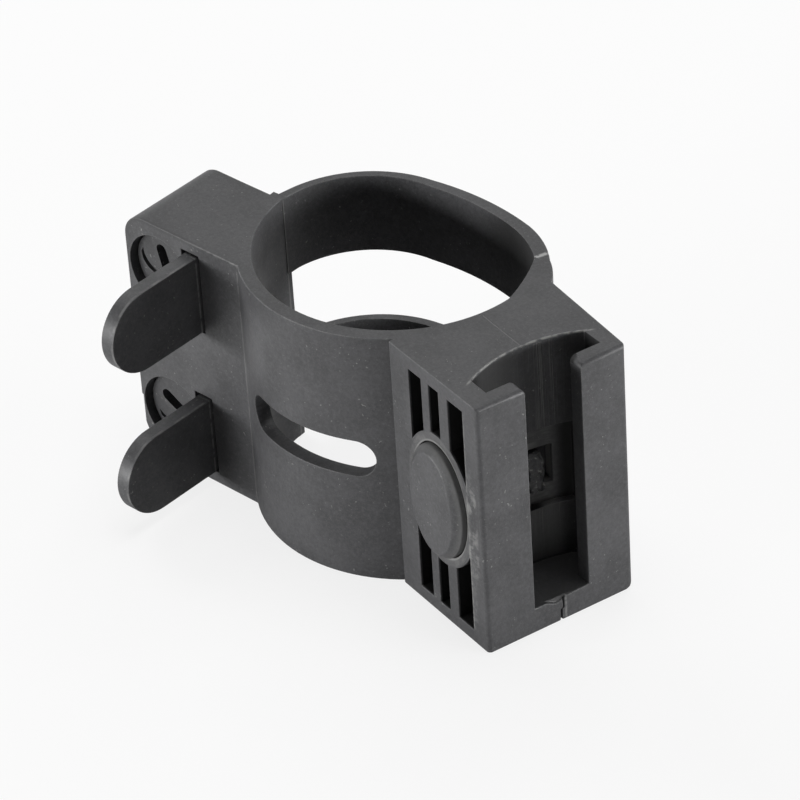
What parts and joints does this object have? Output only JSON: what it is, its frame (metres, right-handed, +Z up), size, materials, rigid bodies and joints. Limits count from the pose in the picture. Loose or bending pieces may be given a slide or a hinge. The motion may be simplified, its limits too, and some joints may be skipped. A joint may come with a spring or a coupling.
{
  "type": "bike lock bracket",
  "caption": "Moulded frame-tube clamp for a bike lock: ring with strap bands drawn in by worm screws, and a T-slot block with an oval release button.",
  "frame": {"origin": "on the axis of the frame tube that the ring clamps, at the bracket's lower face", "axes": "+Z up along the tube, the way the T-slot opens; +X from the tube towards the front face of the T-slot block; -Y the side with the release button and the strap tails"},
  "size_m": [0.0568, 0.0439, 0.032],
  "materials": {
    "body_plastic": "matte, finely grained",
    "screw_plastic": "matte",
    "button_plastic": "matte",
    "spring_steel": "drawn wire"
  },
  "bodies": {
    "bracket": {"bracket_body": "body_plastic", "button_spring": "spring_steel"},
    "upper_screw": {"upper_clamp_screw": "screw_plastic"},
    "lower_screw": {"lower_clamp_screw": "screw_plastic"},
    "button": {"release_button": "button_plastic"}
  },
  "joints": [
    {"name": "upper_screw_turn", "type": "hinge", "parent": "bracket", "child": "upper_screw", "pos_m": [-0.0194, -0.01787, 0.02575], "axis": [0.2419, -0.9703, 0], "continuous": true},
    {"name": "lower_screw_turn", "type": "hinge", "parent": "bracket", "child": "lower_screw", "pos_m": [-0.0194, -0.01787, 0.00675], "axis": [0.2419, -0.9703, 0], "continuous": true},
    {"name": "button_press", "type": "slide", "parent": "bracket", "child": "button", "axis": [0, 1, 0], "range_m": [0, 0.0012], "stiffness_N_per_m": 1500, "springref_m": -0.003, "deforming": ["button_spring"]}
  ]
}
